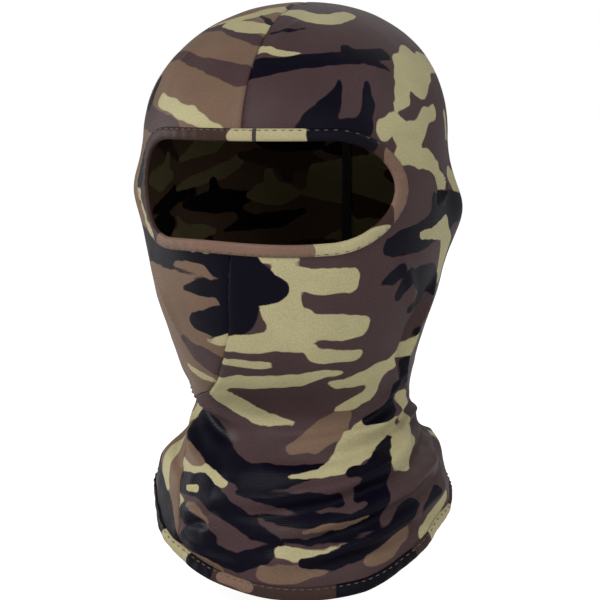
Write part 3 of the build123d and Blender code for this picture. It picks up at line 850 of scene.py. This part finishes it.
def node(tree, kind, values=None, links=None, **settings):
    """Adds a node with its settings, its socket values and what feeds it."""
    made = tree.nodes.new(kind)
    for key, value in settings.items():
        setattr(made, key, value)
    for socket, value in (values or {}).items():
        made.inputs[socket].default_value = value
    for socket, source in (links or {}).items():
        tree.links.new(source, made.inputs[socket])
    return made


def material(name):
    """An empty node material and its tree."""
    made = bpy.data.materials.new(name)
    made.use_nodes = True
    made.node_tree.nodes.clear()
    return made, made.node_tree


FROM_LOW, FROM_HIGH, TO_LOW, TO_HIGH = 1, 2, 3, 4  # a Map Range node's sockets
MIX_UNDER, MIX_OVER, MIX_COLOUR = 6, 7, 2  # a colour Mix node's sockets
SCALE_BY = 3             # a Vector Math node's scale socket
INK_EDGE = 0.3           # mm over which one ink bleeds into the next
WALE = 1.3               # loops are 0.6 mm wide, drawn coarser so that they show
COURSE = 1.0
WAVE_TURN = 0.314        # a wave texture of scale 1 repeats every 0.314
LOOP_HEIGHT = 0.0002     # m
FLECKS_PER_MM = 0.85
WEAR_PER_MM = 0.035


NOISE_LOW, NOISE_HIGH = 0.3, 0.7  # a noise texture's usual range
FLECK_SWING, WEAR_SWING, FUZZ_SWING = 0.14, 0.07, 0.2


def around_one(swing):
    """Map Range values that turn a noise's usual range into 1 give or take swing."""
    return {FROM_LOW: NOISE_LOW, FROM_HIGH: NOISE_HIGH, TO_LOW: 1 - swing, TO_HIGH: 1 + swing}


def printed_knit(name, inks, roughness, sheen):
    """Polyester and elastane jersey, sublimation printed: a satin knit with soft
    sheen, crisp ink edges, and fine V loops that break the light up."""
    made, tree = material(name)
    run = node(tree, "ShaderNodeAttribute", attribute_name="knit_run").outputs["Vector"]
    colour = None
    base = linear(inks["P"])
    for layer, ink in (("tan_ink", "T"), ("khaki_ink", "H"), ("black_ink", "K")):
        field = node(tree, "ShaderNodeAttribute", attribute_name=layer).outputs["Fac"]
        cover = node(tree, "ShaderNodeMapRange",
                     {FROM_LOW: -INK_EDGE, FROM_HIGH: INK_EDGE, TO_LOW: 1.0, TO_HIGH: 0.0}, {0: field})
        mixed = node(tree, "ShaderNodeMix", {MIX_UNDER: base, MIX_OVER: linear(inks[ink])},
                     {0: cover.outputs[0]}, data_type="RGBA")
        if colour is not None:
            tree.links.new(colour, mixed.inputs[MIX_UNDER])
        colour = mixed.outputs[MIX_COLOUR]
    # the white yarn grins through the ink in tiny flecks all over
    flecks = node(tree, "ShaderNodeTexNoise",
                  {"Scale": FLECKS_PER_MM, "Detail": 3.0, "Roughness": 0.7}, {"Vector": run})
    fleck = node(tree, "ShaderNodeMapRange", around_one(FLECK_SWING), {0: flecks.outputs[0]})
    worn = node(tree, "ShaderNodeTexNoise", {"Scale": WEAR_PER_MM, "Detail": 2.0}, {"Vector": run})
    wear = node(tree, "ShaderNodeMapRange", around_one(WEAR_SWING), {0: worn.outputs[0]})
    shade = node(tree, "ShaderNodeMath", {}, {0: fleck.outputs[0], 1: wear.outputs[0]},
                 operation="MULTIPLY")
    tint = node(tree, "ShaderNodeVectorMath", {}, {0: colour, SCALE_BY: shade.outputs[0]},
                operation="SCALE")
    wales = node(tree, "ShaderNodeTexWave",
                 {"Scale": WAVE_TURN / WALE, "Distortion": 0.6, "Detail": 1.0},
                 {"Vector": run}, bands_direction="X")
    courses = node(tree, "ShaderNodeTexWave",
                   {"Scale": WAVE_TURN / COURSE, "Distortion": 0.4, "Detail": 1.0},
                   {"Vector": run}, bands_direction="Y")
    loops = node(tree, "ShaderNodeMath", {}, {0: wales.outputs[1], 1: courses.outputs[1]},
                 operation="ADD")
    bump = node(tree, "ShaderNodeBump", {"Strength": 0.22, "Distance": LOOP_HEIGHT},
                {"Height": loops.outputs[0]})
    values = {"Roughness": roughness, "IOR": 1.5, "Specular IOR Level": 0.07,
              "Sheen Weight": sheen, "Sheen Roughness": 0.35}
    face = node(tree, "ShaderNodeBsdfPrincipled", values,
                {"Base Color": tint.outputs[0], "Normal": bump.outputs[0]})
    node(tree, "ShaderNodeOutputMaterial", {}, {"Surface": face.outputs[0]})
    return made


def spun_thread(name, code, roughness):
    """Spun polyester thread: matt, with the twist of its plies as fine slanting lines."""
    made, tree = material(name)
    place = node(tree, "ShaderNodeTexCoord").outputs["Object"]
    twist = node(tree, "ShaderNodeTexWave", {"Scale": 300.0, "Distortion": 1.5, "Detail": 1.0},
                 {"Vector": place}, bands_direction="DIAGONAL")
    fuzz = node(tree, "ShaderNodeTexNoise", {"Scale": 900.0, "Detail": 2.0}, {"Vector": place})
    level = node(tree, "ShaderNodeMapRange", around_one(FUZZ_SWING), {0: fuzz.outputs[0]})
    tint = node(tree, "ShaderNodeVectorMath", {0: linear(code)[:3]}, {SCALE_BY: level.outputs[0]},
                operation="SCALE")
    bump = node(tree, "ShaderNodeBump", {"Strength": 0.5, "Distance": LOOP_HEIGHT},
                {"Height": twist.outputs[1]})
    face = node(tree, "ShaderNodeBsdfPrincipled",
                {"Roughness": roughness, "IOR": 1.5, "Sheen Weight": 0.2},
                {"Base Color": tint.outputs[0], "Normal": bump.outputs[0]})
    node(tree, "ShaderNodeOutputMaterial", {}, {"Surface": face.outputs[0]})
    return made


FACE_INKS = {"K": "#070512", "P": "#433334", "T": "#6b5647", "H": "#a59d78"}
BAND_INKS = {"K": "#0a0811", "P": "#382925", "T": "#725a4d", "H": "#a29976"}
# The reverse side's inks are duller, as a print is through the knit, and darker still as painted shade
# for the dim inside of the hood.
REVERSE_INKS_WITH_PAINTED_SHADE = {"K": "#100c0d", "P": "#3b2c22", "T": "#574334", "H": "#716849"}
knit_face = printed_knit("printed polyester jersey", FACE_INKS, 0.44, 0.0)
knit_back_with_painted_shade = printed_knit("jersey reverse side with painted shade", REVERSE_INKS_WITH_PAINTED_SHADE, 0.75, 0.0)
band_face = printed_knit("printed jersey binding", BAND_INKS, 0.46, 0.0)
looper = spun_thread("overlock thread", "#231d19", 0.8)
sewing = spun_thread("sewing thread", "#4d4336", 0.7)
join_thread = spun_thread("bar tack thread", "#241c18", 0.75)

# The pieces -----------------------------------------------------------------
right = panel("hood_right", -1, "R", [knit_face, knit_back_with_painted_shade], "hood_right_panel")
left = panel("hood_left", 1, "L", [knit_face, knit_back_with_painted_shade], "hood_left_panel")

EYE_BAND_THICK, HEM_BAND_THICK = 3.2, 2.8
EYE_STEPS, HEM_STEPS, TACK_STEPS = 260, 330, 4
EYE_STITCHES, HEM_STITCHES = 86, 123
TACK_PROUD = 0.15
EYE_JOIN = 7.0 / ROUND   # where the binding's two ends meet, just off the crown seam
EYE_JOIN_HALF = 1.0 / ROUND
HEM_JOIN_HALF = 0.0014   # the hem's two ends meet at the back, where its share is 0
eye_band = band("eye_binding_band", 0, 1, EYE_STEPS, band_places, EYE_BAND_THICK, "E",
                band_face, "eye_binding")
band("eye_binding_bar_tack", EYE_JOIN - EYE_JOIN_HALF, EYE_JOIN + EYE_JOIN_HALF, TACK_STEPS,
     band_places, EYE_BAND_THICK, "E", join_thread, "eye_binding_join",
     proud=TACK_PROUD)
stitches("eye_binding_thread", EYE_STITCHES, band_places, sewing, "eye_binding_stitches")

hem = band("hem_band_strip", 0, 1, HEM_STEPS, hem_places, HEM_BAND_THICK, "M",
           band_face, "hem_band")
band("hem_band_bar_tack", -HEM_JOIN_HALF, HEM_JOIN_HALF, TACK_STEPS, hem_places, HEM_BAND_THICK,
     "M", join_thread, "hem_band_join", proud=TACK_PROUD)
stitches("hem_band_thread", HEM_STITCHES, hem_places, sewing, "hem_band_stitches")

overlock("crown_overlock", 300, crown_path, looper, "crown_seam_overlock")
overlock("front_overlock", 130, front_path, looper, "front_seam_overlock")

# Floor, light and camera ----------------------------------------------------
FLOOR_GAP = 0.004        # the mask hangs just clear of the floor
FLOOR_SIZE = 8.0
centre = (cad_low + cad_high) / 2
floor_mesh = bpy.data.meshes.new("floor")
bm = bmesh.new()
bmesh.ops.create_grid(bm, x_segments=1, y_segments=1, size=FLOOR_SIZE,
                      matrix=Matrix.Translation((0, 0, cad_low.z - FLOOR_GAP)))
bm.to_mesh(floor_mesh)
bm.free()
floor = bpy.data.objects.new("floor", floor_mesh)
bpy.context.scene.collection.objects.link(floor)
paint, tree = material("matt white floor")
floor_seen = node(tree, "ShaderNodeLightPath").outputs["Is Camera Ray"]
floor_glow = node(tree, "ShaderNodeMapRange", {TO_LOW: 0.3, TO_HIGH: 0.87}, {0: floor_seen})
floor_face = node(tree, "ShaderNodeBsdfPrincipled", {"Base Color": linear("#bcbcbc"), "Roughness": 0.9,
                                                      "Emission Color": (1, 1, 1, 1)},
                  {"Emission Strength": floor_glow.outputs[0]})
node(tree, "ShaderNodeOutputMaterial", {}, {"Surface": floor_face.outputs[0]})
floor_mesh.materials.append(paint)

world = bpy.data.worlds.new("studio")
world.use_nodes = True
bpy.context.scene.world = world
sky = world.node_tree
sky.nodes.clear()
seen = node(sky, "ShaderNodeLightPath").outputs["Is Camera Ray"]
level = node(sky, "ShaderNodeMapRange", {TO_LOW: 0.26, TO_HIGH: 1.0}, {0: seen})
plain_sky = node(sky, "ShaderNodeBackground", {"Color": (1, 1, 1, 1)},
                 {"Strength": level.outputs[0]})
node(sky, "ShaderNodeOutputWorld", {}, {"Surface": plain_sky.outputs[0]})
bpy.context.scene.view_settings.view_transform = "Standard"


def soft_light(name, place, size, power):
    """A square studio softbox that faces the mask's middle."""
    lamp = bpy.data.lights.new(name, "AREA")
    lamp.shape = "SQUARE"
    lamp.size = size
    lamp.energy = power
    holder = bpy.data.objects.new(name, lamp)
    holder.location = centre + Vector(place)
    holder.rotation_euler = (centre - holder.location).to_track_quat("-Z", "Y").to_euler()
    bpy.context.scene.collection.objects.link(holder)


soft_light("key", (-0.3, -1.6, 1.15), 0.8, 26)
soft_light("fill", (1.5, -1.3, 0.5), 1.0, 9)
soft_light("left_rim", (-1.5, 0.15, 0.2), 0.7, 9)
soft_light("right_rim", (1.4, 0.6, 0.7), 0.7, 4)
soft_light("floor_wash", (0, 2.6, 1.6), 2.0, 7)

VIEW_AZIMUTH = radians(16.5)
VIEW_RISE = radians(5.0)
VIEW_DISTANCE = 1.6
AIM_ASIDE, AIM_BELOW_CROWN = 0.0015, 0.1522
back = Vector((sin(VIEW_AZIMUTH) * cos(VIEW_RISE), -cos(VIEW_AZIMUTH) * cos(VIEW_RISE),
               sin(VIEW_RISE)))
aside = Vector((cos(VIEW_AZIMUTH), sin(VIEW_AZIMUTH), 0))
aim = aside * AIM_ASIDE + Vector((0, 0, cad_high.z - AIM_BELOW_CROWN))
camera = bpy.data.objects.new("camera", bpy.data.cameras.new("camera"))
camera.data.lens = 187.2
camera.location = aim + back * VIEW_DISTANCE
camera.rotation_euler = (-back).to_track_quat("-Z", "Y").to_euler()
bpy.context.scene.collection.objects.link(camera)
bpy.context.scene.camera = camera
